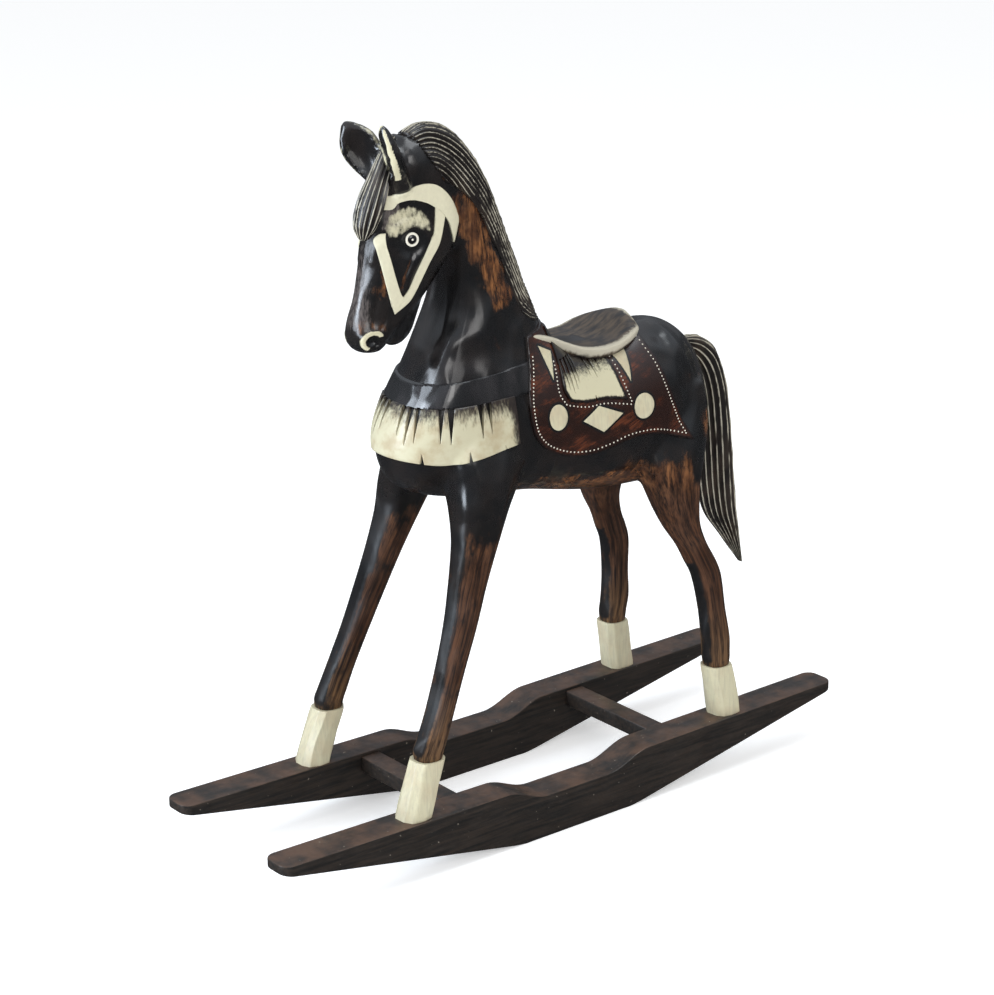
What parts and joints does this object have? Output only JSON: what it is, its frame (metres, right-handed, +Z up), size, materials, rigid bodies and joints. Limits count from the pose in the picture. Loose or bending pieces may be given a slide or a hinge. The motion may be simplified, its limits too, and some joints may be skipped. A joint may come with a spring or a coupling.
{
  "type": "wooden rocking horse",
  "caption": "Carved and painted wooden rocking horse with saddle, bridle and fringed breast band, standing on bowed rockers joined by crossbars.",
  "frame": {"origin": "on the floor, midway between the two rockers and midway along their length", "axes": "+X forward to the horse's head, +Y to the horse's left, +Z up"},
  "size_m": [0.912, 0.264, 0.9196],
  "materials": {
    "dark_lacquer": "near-black glossy lacquer over carved wood, rubbed to amber and cream on the raised carving",
    "leg_wood": "brown stained wood under clear lacquer, black at the top, with cream painted feet",
    "rocker_wood": "dark brown satin stain, worn lighter along the upper edges",
    "cream_paint": "matt cream paint, dry brushed at its edges"
  },
  "bodies": {
    "root": {"horse_body": "dark_lacquer", "tail": "dark_lacquer", "front_left_leg": "leg_wood", "front_right_leg": "leg_wood", "hind_left_leg": "leg_wood", "hind_right_leg": "leg_wood", "left_rocker": "rocker_wood", "right_rocker": "rocker_wood", "front_crossbar": "rocker_wood", "rear_crossbar": "rocker_wood"}
  },
  "joints": []
}
